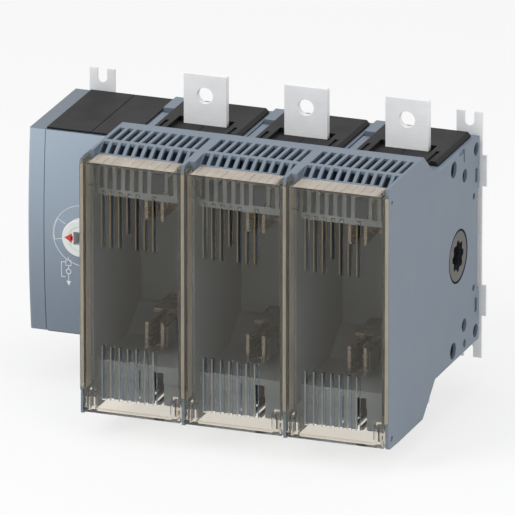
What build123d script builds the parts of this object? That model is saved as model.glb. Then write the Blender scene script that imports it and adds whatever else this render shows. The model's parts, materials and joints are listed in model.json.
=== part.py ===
"""Three-pole fuse switch disconnector with a front drive on its left side.

The origin is the centre of the fixing slots, on the wall. +X is right, +Y goes into
the wall, +Z is up, and the front of the device faces -Y.
"""

from build123d import *
import math
import os

os.makedirs("parts", exist_ok=True)

# Driving dimensions of the block, in millimetres
pole_count = 3
pole_pitch = 94.0
drive_width = 94.0
end_wall_thickness = 3.0
partition = 3.0
wall = 3.0
front_height = 241.0
rear_height = 188.2
housing_depth = 238.6
wall_gap = 6.4
running_gap = 0.3
bearing_gap = 0.06
seat_gap = 0.1

# Side profile of a pole, as distances behind the front plane
front_edge_height = 239.0
rim_thickness = 2.2
front_slope = 30.0
top_flat_end = 92.3
step_end = 124.4
front_corner_round = 4.5
nose_end = 38.0
chamfered_side = 6.0

# Fuse compartment and vent ducts
compartment_inset = 8.4
slim_side = 2.4
side_wall_setback = 14.3
grille_setback = 25.0
compartment_height = 152.0
slant_start = 98.6
slant_end = 124.7
slant_height = 109.6
compartment_depth = 131.0
lower_opening = 48.0
lower_grille_end = 112.0

# Louvres
louvre_count = 11
louvre_first = 11.8
louvre_pitch = 8.1
louvre_width = 5.0
top_louvre_start = 45.0
top_louvre_end = 78.0
nose_louvre_start = 26.5
nose_louvre_end = 39.0
long_louvres = 2
grille_slot_width = 4.4
grille_gap_start = 60.0
grille_gap_end = 69.0

# Terminals and terminal covers
blade_width = 40.0
blade_thickness = 6.0
blade_reach = 140.8
blade_hole = 15.0
blade_hole_inset = 19.0
cover_left = 13.0
cover_right = 91.0
cover_front = 146.0
cover_rear = 232.0
ledge_rise = 0.6
ridge_rise = 4.6
ridge_width = 12.0
ridge_groove = 3.2
ridge_groove_end = 8.0
strip_groove = 205.0
strip_groove_width = 5.0
strip_groove_depth = 4.0
strip_channel = 1.8
strip_block_rise = 3.0

# Contact system
shaft_depth = 183.7
shaft_outer = 14.4
shaft_lobe = 3.0
lobe_count = 8
lobe_angle = 6.0
journal_radius = 24.4
knife_radius = 42.0
knife_width = 10.0
knife_thickness = 4.0
knife_hub = 19.9
contact_offset = 18.0
jaw_angle = 150.0
switching_angle = 90.0
finger_thickness = 2.0
finger_width = 9.0
finger_overlap = 11.0

# Fuse jaws
jaw_thickness = 3.0
jaw_gap = 5.8
jaw_start = 60.0
jaw_end = 97.0
jaw_low = 47.0
jaw_top = 72.0
jaw_bar_width = 30.0
jaw_bar_thickness = 4.0
clip_thickness = 1.5
clip_play = 0.05
clip_reach = 18.0

# Fuse covers
cover_thickness = 3.0
cover_side = 2.5
cover_depth = 14.0
cover_top = 113.0
cover_top_depth = 24.6
cover_rib = 2.5
ear_rise = 4.0
cover_gap = 0.3
hinge_depth = 12.5
hinge_height = 111.4
trunnion_radius = 2.5
lug_radius = 5.0
lug_height = 20.0
cover_slot_count = 7
cover_slot_pitch = 7.9
cover_slot_width = 3.5
cover_slot_first = 17.8
hook_inset = 8.0
hook_thickness = 1.5
hook_drop = 6.0
hook_height = 16.0
hook_foot = 5.0
lug_width = 6.0
lug_inset = 2.0
trunnion_reach = 0.9
rib_thickness = 1.2
upper_slot_low = 37.0
upper_slot_high = 88.0
lower_slot_low = -104.0
lower_slot_high = -54.0

# Drive module
drive_height = 186.6
drive_setback = 125.4
drive_bulge = 5.0
side_chamber_width = 15.5
side_chamber_seam = 0.5
drive_cover_split = 57.0
drive_cover_seam = 0.8
drive_cover_rise = 1.6
dial_offset = 52.0
dial_radius = 17.0
dial_reach = 8.0
socket_size = 12.0
hub_socket_depth = 25.0
hub_shaft_radius = 10.0
gear_teeth = 16
gear_radius = 30.0
gear_face = 9.0
gear_tooth_depth = 5.0
gear_web = 4.0
gear_backlash = 0.9
gear_flank = 20.0
frame_thickness = 3.0
frame_height = 120.0
frame_flange = 70.0
frame_setback = 8.0
socket_depth = 22.0

# Mounting brackets
bracket_width = 24.0
bracket_thickness = 2.0
bracket_height = 228.0
left_lug_inset = 24.0
right_lug_inset = 11.0
slot_width = 9.0
slot_depth = 13.0
tab_reach = 5.0
tab_low = 46.0
tab_high = 74.5
foot_low = 58.0
foot_high = 88.0
foot_width = 19.0
rear_recess = 2.0
screw_inset = 1.0
screw_radius = 2.5
screw_head_radius = 4.5
screw_length = 8.0

# Places that follow from the driving dimensions
block_width = drive_width + pole_count * pole_pitch + end_wall_thickness
fixing_span = block_width - left_lug_inset - right_lug_inset
block_left = -fixing_span / 2 - left_lug_inset
block_right = fixing_span / 2 + right_lug_inset
front = -(housing_depth + wall_gap)
rear = -wall_gap
shaft_y = front + shaft_depth
half_front = front_height / 2
half_rear = rear_height / 2
half_pole = pole_pitch / 2 + partition
floor_y = front + compartment_depth
chamber_front = floor_y + wall
screw_height = (foot_low + foot_high) / 2
blade_front = shaft_y - blade_thickness / 2
blade_rear = shaft_y + blade_thickness / 2
hinge_y = front + hinge_depth
hinge_z = -hinge_height


def pole_left(pole):
    """X of the left face of a pole's partition."""
    return block_left + drive_width + pole * pole_pitch


def side_face(points, x):
    """A closed outline in the side view, standing at x."""
    with BuildSketch(Plane.YZ.offset(x)) as face:
        with BuildLine():
            Polyline(*points, close=True)
        make_face()
    return face.sketch


def both_ways(upper):
    """The upper half of an outline, then its mirror image below."""
    return upper + [(y, -z) for y, z in reversed(upper)]


def cuboid(low, high, mode=Mode.ADD):
    """A block between two opposite corners."""
    size = [b - a for a, b in zip(low, high)]
    with Locations(low):
        Box(*size, align=(Align.MIN, Align.MIN, Align.MIN), mode=mode)


def rod_along_x(x0, x1, y, z, radius, mode=Mode.ADD):
    """A round bar or hole along X between x0 and x1."""
    with Locations(Location((x0, y, z), (0, 90, 0))):
        Cylinder(radius, x1 - x0, align=(Align.CENTER, Align.CENTER, Align.MIN), mode=mode)


def rod_along_y(x, y0, y1, z, radius, mode=Mode.ADD):
    """A round bar or hole along Y between y0 and y1."""
    with Locations(Location((x, y0, z), (-90, 0, 0))):
        Cylinder(radius, y1 - y0, align=(Align.CENTER, Align.CENTER, Align.MIN), mode=mode)


def save(part, name):
    """Labels a finished piece and writes its file."""
    part.label = name
    export_step(part, f"parts/{name}.step")


def star(clearance):
    """The many-lobed section of the shaft, on the Z axis, grown by a clearance."""
    corners = []
    for lobe in range(lobe_count):
        middle = lobe * 360 / lobe_count
        corners.append((shaft_outer, middle - lobe_angle))
        corners.append((shaft_outer, middle + lobe_angle))
        corners.append((shaft_outer - shaft_lobe, middle + 180 / lobe_count))
    points = []
    for radius, angle in corners:
        turn = math.radians(angle)
        points.append(((radius + clearance) * math.cos(turn), (radius + clearance) * math.sin(turn)))
    with BuildSketch() as face:
        with BuildLine():
            Polyline(*points, close=True)
        make_face()
    return face.sketch


def star_face(x, clearance):
    """The section of the shaft or of its sockets, standing at x."""
    return Plane.YZ.offset(x) * Pos(shaft_y, 0, 0) * star(clearance)


# Outline of a pole seen from the side, front to rear
pole_outline = both_ways([
    (front, front_edge_height / 2),
    (front + front_slope, half_front),
    (front + top_flat_end, half_front),
    (front + step_end, half_rear),
    (rear, half_rear),
])
above_nose = [
    (front - 1, cover_top),
    (front + grille_setback, cover_top),
    (front + nose_end, half_front),
    (front + nose_end, half_front + 1),
    (front - 1, half_front + 1),
]
room_height = front_edge_height / 2 - rim_thickness
compartment_outline = both_ways([
    (front - 1, room_height),
    (front + grille_setback, room_height),
    (front + grille_setback, compartment_height / 2),
    (front + slant_start, compartment_height / 2),
    (front + slant_end, slant_height / 2),
    (floor_y, slant_height / 2),
])
duct_front = front + grille_setback + wall
lower_duct_outline = [
    (duct_front, compartment_height / 2 + wall),
    (duct_front, half_front - wall),
    (front + top_flat_end - 1.5, half_front - wall),
    (front + step_end - 1.5, half_rear - wall),
    (floor_y, half_rear - wall),
    (floor_y, slant_height / 2 + 1.4 * wall),
    (front + slant_end + 1.3, slant_height / 2 + wall),
    (front + slant_start + 1.4, compartment_height / 2 + wall),
]
upper_duct_outline = [
    (duct_front, compartment_height / 2 + wall),
    (duct_front, cover_top - wall),
    (front + nose_end, half_front - wall),
] + lower_duct_outline[2:]
lower_duct_outline = [(y, -z) for y, z in lower_duct_outline]


def foot(x, y, side, screw_x):
    """A foot behind the housing, with the screw hole of a bracket."""
    low, high = sorted((side * foot_low, side * foot_high))
    cuboid((x, y - 1, low), (x + foot_width, -bracket_thickness, high))
    rod_along_y(screw_x, -screw_length - 1, 0, side * screw_height, screw_radius + seat_gap,
                mode=Mode.SUBTRACT)


# Pole housings
def pole_housing(pole):
    """One moulded pole: compartment, ducts with louvres and switching chamber."""
    left = pole_left(pole)
    middle = left + half_pole
    inner_left = left + compartment_inset
    inner_right = left + pole_pitch - slim_side
    with BuildPart() as housing:
        extrude(side_face(pole_outline, left), amount=pole_pitch)
        front_foot = housing.edges().filter_by(Axis.X).sort_by(Axis.Y)[:2].sort_by(Axis.Z)[0]
        fillet(front_foot, front_corner_round)
        # room for the fuse cover between the partitions
        cover_room = both_ways([(front - 1, room_height), (front + side_wall_setback, room_height)])
        extrude(side_face(cover_room, left + partition), amount=pole_pitch, mode=Mode.SUBTRACT)
        # the partition stands behind the cover's front plate
        cuboid((left - 1, front - 1, -half_front), (left + partition + 1, front + cover_thickness + cover_gap,
               half_front), mode=Mode.SUBTRACT)
        extrude(side_face(compartment_outline, inner_left), amount=inner_right - inner_left, mode=Mode.SUBTRACT)
        # the cover room is open above, up to the sloping nose with its louvres
        extrude(side_face(above_nose, inner_left), amount=pole_pitch, mode=Mode.SUBTRACT)
        cuboid((left + partition, front - 1, cover_top - 2 * wall),
               (left + pole_pitch + 1, front + side_wall_setback, half_front + 1), mode=Mode.SUBTRACT)
        cuboid((inner_left, front - 1, cover_top - 2 * wall),
               (left + pole_pitch + 1, front + grille_setback, half_front + 1), mode=Mode.SUBTRACT)
        # vent ducts above and below the compartment
        for outline in (upper_duct_outline, lower_duct_outline):
            extrude(side_face(outline, inner_left), amount=inner_right - inner_left, mode=Mode.SUBTRACT)
        # bevelled upper edge of the side that the drive stands against
        if pole == 0:
            with BuildSketch(Plane.XZ.offset(-rear)) as bevel:
                with BuildLine():
                    Polyline((left, half_front), (left, half_front - chamfered_side),
                             (left + chamfered_side, half_front), close=True)
                make_face()
            extrude(amount=housing_depth, mode=Mode.SUBTRACT)
        # the underside is open in front, which leaves the cover room to swing
        cuboid((left + partition, front - 1, -half_front - 1),
               (left + pole_pitch + 1, front + side_wall_setback + hinge_depth, -hinge_height + lug_height),
               mode=Mode.SUBTRACT)
        cuboid((inner_left, front - 1, -half_front - 1),
               (inner_right, front + lower_opening, -lower_grille_end), mode=Mode.SUBTRACT)
        # louvres of the flat top and underside, and of the sloping nose
        louvre_middle = left + louvre_first + (louvre_count - 1) * louvre_pitch / 2
        for side in (1, -1):
            with Locations((louvre_middle, front + (top_louvre_start + top_louvre_end) / 2, side * half_front)):
                with GridLocations(louvre_pitch, 1, louvre_count, 1):
                    Box(louvre_width, top_louvre_end - top_louvre_start, 3 * wall, mode=Mode.SUBTRACT)
        with Locations((louvre_middle, front + (nose_louvre_start + nose_louvre_end) / 2, half_front)):
            with GridLocations(louvre_pitch, 1, louvre_count, 1):
                Box(louvre_width, nose_louvre_end - nose_louvre_start, 6 * wall, mode=Mode.SUBTRACT)
        # the last louvres run out over the front edge of the nose
        for louvre in range(louvre_count - long_louvres, louvre_count):
            with Locations((left + louvre_first + louvre * louvre_pitch, front + grille_setback, half_front)):
                Box(louvre_width, 2 * wall, 8 * wall, mode=Mode.SUBTRACT)
        # wide gap in both inner grilles, and upright slots in the upper one
        grille_low = compartment_height / 2 + 2 * wall
        for side, grille_high in ((1, cover_top - 2 * wall), (-1, half_front - 2 * wall)):
            grille_middle = side * (grille_low + grille_high) / 2
            if side > 0:
                with Locations((louvre_middle, front + grille_setback + wall / 2, grille_middle)):
                    with GridLocations(louvre_pitch, 1, louvre_count, 1):
                        Box(grille_slot_width, 3 * wall, grille_high - grille_low, mode=Mode.SUBTRACT)
            with Locations((left + (grille_gap_start + grille_gap_end) / 2,
                            front + grille_setback + wall / 2, grille_middle)):
                Box(grille_gap_end - grille_gap_start, 3 * wall, grille_high - grille_low, mode=Mode.SUBTRACT)
        # switching chamber, open above and below under the terminal covers
        cuboid((inner_left, chamber_front, -half_rear + wall), (inner_right, rear - wall, half_rear - wall),
               mode=Mode.SUBTRACT)
        for side in (1, -1):
            with Locations((left + (cover_left + cover_right) / 2, front + (cover_front + cover_rear) / 2,
                            side * half_rear)):
                Box(cover_right - cover_left - 6, cover_rear - cover_front - 10, 3 * wall, mode=Mode.SUBTRACT)
            # groove across the strip beside the cover, and channels along both its sides
            with Locations((left + cover_left / 2, front + strip_groove, side * half_rear)):
                Box(cover_left, strip_groove_width, 2 * strip_groove_depth, mode=Mode.SUBTRACT)
            with Locations((left + strip_channel / 2, front + (cover_front + cover_rear) / 2, side * half_rear),
                           (left + cover_left - strip_channel / 2, front + (cover_front + cover_rear) / 2,
                            side * half_rear)):
                Box(strip_channel, cover_rear - cover_front, 2 * strip_channel, mode=Mode.SUBTRACT)
            # raised block behind the groove
            block_y = front + strip_groove + strip_groove_width / 2
            low, high = sorted((side * (half_rear - 1), side * (half_rear + strip_block_rise)))
            cuboid((left + 1, block_y, low), (left + cover_left - 1, rear, high))
        # bearing openings of the contact rotor
        rod_along_x(left - 1, left + pole_pitch + 1, shaft_y, 0, journal_radius + bearing_gap, mode=Mode.SUBTRACT)
        # slots for the bars of the fuse jaws
        for side in (1, -1):
            with Locations((middle, floor_y + wall / 2, side * jaw_bar_height)):
                Box(jaw_bar_width + 2 * seat_gap, 3 * wall, jaw_bar_thickness + 2 * seat_gap, mode=Mode.SUBTRACT)
        # hinge bearings of the fuse covers on both sides of the partition
        rod_along_x(left - 1, left + partition + 1, hinge_y, hinge_z, trunnion_radius + bearing_gap,
                    mode=Mode.SUBTRACT)
        # the rear face is recessed between its corners
        cuboid((left - 1, rear - rear_recess, -tab_low), (left + pole_pitch + 1, rear + 1, tab_low),
               mode=Mode.SUBTRACT)
        # feet that carry a mounting bracket
        for side in (1, -1):
            foot(left + pole_pitch - foot_width, rear, side,
                 left + pole_pitch + end_wall_thickness - right_lug_inset - screw_inset)
    return housing.part


jaw_bar_height = slant_height / 2 - 1.5 * jaw_bar_thickness

for pole in range(pole_count):
    save(pole_housing(pole), f"pole_housing_{pole + 1}")


# Terminal covers, black, with a raised part round three sides of the blade
def terminal_cover(pole, side):
    """The cover round one terminal blade, above (side 1) or below (side -1)."""
    left = pole_left(pole)
    middle = left + half_pole
    base = half_rear
    y0 = front + cover_front
    y1 = front + cover_rear
    ledge_left = middle - blade_width / 2 - ridge_width / 2
    ledge_right = middle + blade_width / 2 + ridge_width / 2
    with BuildPart() as cover:
        cuboid((left + cover_left, y0, base), (left + cover_right, y1, base + ridge_rise))
        # chamfered edge at the right
        right_edge = cover.edges().filter_by(Axis.Y).group_by(Axis.Z)[-1].sort_by(Axis.X)[-1]
        chamfer(right_edge, ridge_rise * 0.6)
        # plug that locates the cover in the opening
        cuboid((left + cover_left + 3 + seat_gap, y0 + 5 + seat_gap, base - wall),
               (left + cover_right - 3 - seat_gap, y1 - 5 - seat_gap, base))
        # ledge in front of the blade
        cuboid((ledge_left, y0 - 1, base + ledge_rise), (ledge_right, blade_rear, base + ridge_rise + 1),
               mode=Mode.SUBTRACT)
        # grooves along both ridges
        groove_end = blade_front - ridge_groove_end
        for x in (ledge_left - ridge_width / 2, ledge_right + ridge_width / 2):
            cuboid((x - ridge_groove / 2, y0 - 1, base + ridge_rise - ridge_groove / 2),
                   (x + ridge_groove / 2, groove_end, base + ridge_rise + 1), mode=Mode.SUBTRACT)
        # seam in the middle of the ledge
        with Locations((middle, (y0 + blade_front) / 2, base + ledge_rise)):
            Box(0.8, blade_front - y0, 1.0, mode=Mode.SUBTRACT)
        # slot for the blade
        cuboid((middle - blade_width / 2 - seat_gap, blade_front - seat_gap, base - 2 * wall),
               (middle + blade_width / 2 + seat_gap, blade_rear + seat_gap, base + 2 * ridge_rise),
               mode=Mode.SUBTRACT)
    if side > 0:
        return cover.part
    return mirror(cover.part, about=Plane.XY)


# Terminals: blade outside, pair of contact fingers inside
def terminal(pole, side):
    """A terminal blade whose inner end carries the fingers round a knife."""
    middle = pole_left(pole) + half_pole
    knife_x = middle - side * contact_offset
    finger_low = knife_radius - finger_overlap
    blade_low = knife_radius + 3
    with BuildPart() as blade:
        cuboid((middle - blade_width / 2, blade_front, blade_low), (middle + blade_width / 2, blade_rear, blade_reach))
        corners = blade.edges().filter_by(Axis.Y).group_by(Axis.Z)[-1]
        chamfer(corners, 0.8)
        rod_along_y(middle, blade_front - 1, blade_rear + 1, blade_reach - blade_hole_inset, blade_hole / 2,
                    mode=Mode.SUBTRACT)
        fingers(knife_x, shaft_y - finger_width / 2, shaft_y + finger_width / 2, finger_low, blade_low + 6)
        # foot that joins the fingers to the blade
        cuboid((knife_x - finger_spread, shaft_y - finger_width / 2, blade_low),
               (knife_x + finger_spread, shaft_y + finger_width / 2, blade_low + 8))
    if side > 0:
        return blade.part
    return mirror(blade.part, about=Plane.XY)


finger_clear = knife_thickness / 2 + running_gap
finger_spread = finger_clear + finger_thickness


def fingers(x, y0, y1, z0, z1):
    """Two upright fingers that stand on both sides of a knife."""
    cuboid((x - finger_spread, y0, z0), (x - finger_clear, y1, z1))
    cuboid((x + finger_clear, y0, z0), (x + finger_spread, y1, z1))


# Fuse jaws: clips for the fuse's blade, bar through the back wall, fingers for the knife
def fuse_jaw(pole, side):
    """One fuse jaw with the bar that joins it to the switching chamber."""
    middle = pole_left(pole) + half_pole
    knife_x = middle - side * contact_offset
    jaw_high = jaw_bar_height + jaw_bar_thickness / 2
    half_gap = jaw_gap / 2
    finger_y = shaft_y + (knife_radius - finger_overlap / 2) * math.cos(math.radians(jaw_angle))
    finger_z = (knife_radius - finger_overlap / 2) * math.sin(math.radians(jaw_angle))
    bar_end = chamber_front + 2 + jaw_bar_thickness
    with BuildPart() as jaw:
        # bar from the jaw through the wall, then down inside the chamber
        cuboid((middle - jaw_bar_width / 2, front + jaw_end - 6, jaw_high - jaw_bar_thickness),
               (middle + jaw_bar_width / 2, bar_end, jaw_high))
        cuboid((middle - jaw_bar_width / 2, bar_end - jaw_bar_thickness, finger_z - finger_width / 2),
               (middle + jaw_bar_width / 2, bar_end, jaw_high))
        # two plates with lips that guide the fuse's blade
        for side_x in (-1, 1):
            x0 = middle + side_x * half_gap
            x1 = middle + side_x * (half_gap + jaw_thickness)
            cuboid((min(x0, x1), front + jaw_start, jaw_low), (max(x0, x1), front + jaw_end, jaw_top))
            lip = [(x0, front + jaw_start), (x1, front + jaw_start),
                   (x1 + side_x * jaw_thickness, front + jaw_start - 2 * jaw_thickness),
                   (x1, front + jaw_start - 2 * jaw_thickness)]
            with BuildSketch(Plane.XY.offset(jaw_low)) as lip_face:
                with BuildLine():
                    Polyline(*lip, close=True)
                make_face()
            extrude(amount=jaw_top - jaw_low)
        # fingers round the knife
        for x0, x1 in ((knife_x - finger_spread, knife_x - finger_clear),
                       (knife_x + finger_clear, knife_x + finger_spread)):
            cuboid((x0, bar_end - jaw_bar_thickness, finger_z - finger_width / 2),
                   (x1, finger_y + finger_width / 2, finger_z + finger_width / 2))
        cuboid((min(knife_x - finger_spread, middle), bar_end - jaw_bar_thickness, finger_z - finger_width / 2),
               (max(knife_x + finger_spread, middle), bar_end, finger_z + finger_width / 2))
    if side > 0:
        return jaw.part
    return mirror(jaw.part, about=Plane.XY)


def jaw_clips(pole):
    """The steel clips that press the plates of both jaws together."""
    middle = pole_left(pole) + half_pole
    inner = jaw_gap / 2 + jaw_thickness + clip_play
    outer = inner + clip_thickness
    clip_y0 = front + jaw_start + 8
    clip_y1 = front + jaw_end - 8
    clip_top = jaw_top + clip_play + clip_thickness
    with BuildPart() as clips:
        cuboid((middle - outer, clip_y0, clip_top - clip_reach), (middle + outer, clip_y1, clip_top))
        outer_edges = clips.edges().filter_by(Axis.Y).group_by(Axis.Z)[-1]
        fillet(outer_edges, clip_thickness)
        cuboid((middle - inner, clip_y0 - 1, clip_top - clip_reach - 1),
               (middle + inner, clip_y1 + 1, jaw_top + clip_play), mode=Mode.SUBTRACT)
        mirror(about=Plane.XY)
    return clips.part


# Contact rotor: drum with two journals, star hole and two slots for the knives
def arm_box(x, angle):
    """Place of a knife arm that leaves the axis at an angle, at rest."""
    return Location((x, shaft_y, 0), (angle, 0, 0))


def knife_angles(side):
    """Angles of a knife's two arms with the switch off, from the rear, upwards."""
    if side > 0:
        return (90.0 - switching_angle, jaw_angle - switching_angle)
    return (270.0 - switching_angle, 360.0 - jaw_angle - switching_angle)


def knife_shape(x, side, thickness, width, inner, outer, mode=Mode.ADD):
    """A V of two arms round the shaft."""
    for angle in knife_angles(side):
        with Locations(arm_box(x, angle)):
            with Locations((0, (inner + outer) / 2, 0)):
                Box(thickness, outer - inner, width, mode=mode)
    with Locations(Location((x, shaft_y, 0), (0, 90, 0))):
        Cylinder(knife_hub + (width - knife_width) / 2, thickness, mode=mode)


def contact_rotor(pole):
    """The insulating drum of one pole."""
    left = pole_left(pole)
    middle = left + half_pole
    x0 = left + cover_gap
    x1 = left + pole_pitch - cover_gap
    with BuildPart() as rotor:
        rod_along_x(x0, x1, shaft_y, 0, journal_radius)
        # waist between the two knives
        with BuildSketch(Plane.YZ.offset(middle - contact_offset / 2)):
            with Locations((shaft_y, 0)):
                Circle(journal_radius + 1)
                Circle(journal_radius - 3, mode=Mode.SUBTRACT)
        extrude(amount=contact_offset, mode=Mode.SUBTRACT)
        extrude(star_face(x0 - 1, seat_gap), amount=x1 - x0 + 2, mode=Mode.SUBTRACT)
        for side in (1, -1):
            knife_shape(middle - side * contact_offset, side, knife_thickness + 2 * seat_gap,
                        knife_width + 2 * seat_gap, 0, knife_radius + 5, mode=Mode.SUBTRACT)
    return rotor.part


def knives(pole):
    """The two silver plated copper knives of one pole."""
    middle = pole_left(pole) + half_pole
    with BuildPart() as pair:
        for side in (1, -1):
            knife_shape(middle - side * contact_offset, side, knife_thickness, knife_width, 0, knife_radius)
        extrude(star_face(middle - half_pole, seat_gap), amount=pole_pitch, mode=Mode.SUBTRACT)
    return pair.part


# Fuse covers, clear and smoked, with trunnions at their lower corners
def fuse_cover(pole):
    """One hinged fuse cover."""
    left = pole_left(pole) + partition
    x0 = left + cover_gap
    x1 = left + pole_pitch - partition - cover_gap
    half = room_height - cover_gap
    plate_rear = front + cover_thickness
    rim_y = front + cover_depth
    top_y = front + cover_top_depth
    inner_x0 = pole_left(pole) + compartment_inset + cover_gap
    inner_x1 = pole_left(pole) + pole_pitch - slim_side - cover_gap
    with BuildPart() as cover:
        # front plate, which above the hinge covers the partition at its right, and the first one at its left
        cuboid((x0, front, -half), (x1, plate_rear, cover_top))
        plate_left = x0 if pole else x0 - partition
        cuboid((plate_left, front, -half + lug_height), (left + pole_pitch - cover_gap, plate_rear, cover_top))
        # side flanges and the two rims
        for flange in (x0, x1 - cover_side):
            cuboid((flange, front, -half), (flange + cover_side, rim_y, cover_top))
            rod_along_x(flange, flange + cover_side, hinge_y, hinge_z, lug_radius)
        cuboid((x0, front, cover_top - cover_side), (x1, rim_y, cover_top))
        cuboid((inner_x0, front, cover_top - cover_side), (inner_x1, top_y, cover_top))
        cuboid((x0, front, -half), (x1, front + cover_depth / 2, -half + cover_side))
        # ribs under the top
        rib_z = cover_top - cover_side - cover_rib / 2
        with Locations(((inner_x0 + inner_x1) / 2, (plate_rear + top_y) / 2, rib_z)):
            with GridLocations(louvre_pitch, 1, louvre_count - 2, 1):
                Box(rib_thickness, cover_top_depth - 2 * cover_thickness, cover_rib)
        # ears at the upper corners
        for ear in (x0, x1 - cover_side):
            cuboid((ear, front, cover_top), (ear + cover_side, rim_y, cover_top + ear_rise))
        # hooks at the upper corners
        hook_high = cover_top - hook_drop
        hook_low = hook_high - hook_height
        for hook_x in (x0 + cover_side + hook_inset, x1 - cover_side - hook_inset - hook_thickness):
            cuboid((hook_x, plate_rear - 0.5, hook_low), (hook_x + hook_thickness, rim_y, hook_high))
            cuboid((hook_x - hook_foot, plate_rear - 0.5, hook_low),
                   (hook_x + hook_thickness, rim_y - 4, hook_low + hook_thickness))
        # lugs at the lower corners, each with an upright slot
        for lug_x in (x0 + cover_side + lug_inset, x1 - cover_side - lug_inset - lug_width):
            cuboid((lug_x, plate_rear - 0.5, -half), (lug_x + lug_width, rim_y - 3, -half + lug_height))
            cuboid((lug_x + lug_width / 3, front - 1, -half + 3),
                   (lug_x + lug_width * 2 / 3, rim_y, -half + lug_height - 3), mode=Mode.SUBTRACT)
        # trunnions
        rod_along_x(x0 - cover_gap - trunnion_reach, x0 + 1, hinge_y, hinge_z, trunnion_radius)
        rod_along_x(x1 - 1, x1 + cover_gap + trunnion_reach, hinge_y, hinge_z, trunnion_radius)
        # vent slots above and below
        first = left + cover_slot_first
        for low, high in ((upper_slot_low, upper_slot_high), (lower_slot_low, lower_slot_high)):
            for slot in range(cover_slot_count):
                cut_low = low + 14 if low > 0 and slot == 3 else low
                cut_high = high - 20 if low > 0 and slot == 5 else high
                slot_x = first + slot * cover_slot_pitch
                cuboid((slot_x, front - 1, cut_low), (slot_x + cover_slot_width, plate_rear + 1, cut_high),
                       mode=Mode.SUBTRACT)
        upright = cover.edges().filter_by(Axis.Z).group_by(Axis.Y)[0].sort_by(Axis.X)[0]
        fillet(upright, 1.2)
    return cover.part


for pole in range(pole_count):
    number = pole + 1
    for side, place in ((1, "top"), (-1, "bottom")):
        save(terminal_cover(pole, side), f"terminal_cover_{place}_{number}")
        save(terminal(pole, side), f"terminal_{place}_{number}")
        save(fuse_jaw(pole, side), f"fuse_jaw_{place}_{number}")
    save(jaw_clips(pole), f"jaw_clips_{number}")
    save(contact_rotor(pole), f"contact_rotor_{number}")
    save(knives(pole), f"knives_{number}")
    save(fuse_cover(pole), f"fuse_cover_{number}")

# Right end wall with its knock-outs, and the coupling socket in it
end_left = block_right - end_wall_thickness
end_outline = both_ways([
    (front + cover_thickness + cover_gap, front_edge_height / 2),
    (front + front_slope, half_front),
    (front + top_flat_end, half_front),
    (front + step_end, half_rear),
    (rear, half_rear),
    (rear, tab_low),
    (rear - 4.5, tab_low),
])
round_holes = [(171.1, 83.8, 7.5), (200.0, 69.3, 6.0), (230.0, 84.2, 6.0), (224.4, 42.5, 3.0)]
low_hole = (201.0, -86.5, 3.7)
slot_hole = (230.7, 60.1, 5.7, 13.0)
latch_hole = (10.9, 105.3, 1.8)
notch_width = 3.0
notch_depth = 12.0
notch_length = 14.0
with BuildPart() as end_wall:
    extrude(side_face(end_outline, end_left), amount=end_wall_thickness)
    front_corner = end_wall.edges().filter_by(Axis.X).sort_by(Axis.Y)[:2].sort_by(Axis.Z)[0]
    fillet(front_corner, front_corner_round)
    for depth, height, radius in round_holes:
        for side in (1, -1):
            rod_along_x(end_left - 1, block_right + 1, front + depth, side * height, radius, mode=Mode.SUBTRACT)
    for side in (1, -1):
        with Locations((block_right, front + slot_hole[0], side * slot_hole[1])):
            Box(4 * end_wall_thickness, slot_hole[2], slot_hole[3], mode=Mode.SUBTRACT)
    for depth, height, radius in (latch_hole, low_hole):
        rod_along_x(end_left - 1, block_right + 1, front + depth, height, radius, mode=Mode.SUBTRACT)
    rod_along_x(end_left - 1, block_right + 1, hinge_y, hinge_z, trunnion_radius + bearing_gap, mode=Mode.SUBTRACT)
    rod_along_x(end_left - 1, block_right + 1, shaft_y, 0, journal_radius + bearing_gap, mode=Mode.SUBTRACT)
    # angled notch in the upper edge
    notch_rear = front + strip_groove - strip_groove_width
    notch_x = block_right - end_wall_thickness / 2
    cuboid((notch_x, notch_rear - notch_width, half_rear - notch_depth),
           (block_right + 1, notch_rear, half_rear + 1), mode=Mode.SUBTRACT)
    cuboid((notch_x, notch_rear - notch_length, half_rear - notch_width),
           (block_right + 1, notch_rear, half_rear + 1), mode=Mode.SUBTRACT)
save(end_wall.part, "end_wall")

with BuildPart() as coupling_socket:
    rod_along_x(end_left + cover_gap, block_right - cover_gap, shaft_y, 0, journal_radius)
    extrude(star_face(end_left - 1, seat_gap), amount=end_wall_thickness + 2, mode=Mode.SUBTRACT)
save(coupling_socket.part, "coupling_socket")

# Drive module: side chamber, housing, curved front plate and black covers
drive_front = front + drive_setback
drive_rear = rear + 1.4
half_drive = drive_height / 2
seam_x = block_left + side_chamber_width
drive_right = block_left + drive_width
dial_x = block_left + dial_offset


def drive_profile(x, y_rear, inset=0.0):
    """The side view of the drive module, with its curved front, standing at x."""
    with BuildSketch(Plane.YZ.offset(x)) as face:
        with BuildLine():
            ThreePointArc((drive_front + inset, -half_drive + inset), (drive_front - drive_bulge + inset, 0),
                          (drive_front + inset, half_drive - inset))
            Polyline((drive_front + inset, half_drive - inset), (y_rear, half_drive - inset),
                     (y_rear, -half_drive + inset), (drive_front + inset, -half_drive + inset))
        make_face()
    return face.sketch


with BuildPart() as side_chamber:
    extrude(drive_profile(block_left, drive_rear), amount=side_chamber_width - side_chamber_seam)
    left_edges = side_chamber.faces().sort_by(Axis.X)[0].edges()
    fillet(left_edges.sort_by(Axis.Y)[0], 2.0)
    extrude(drive_profile(block_left + wall, drive_rear - wall, wall), amount=side_chamber_width, mode=Mode.SUBTRACT)
save(side_chamber.part, "drive_side_chamber")

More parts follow.
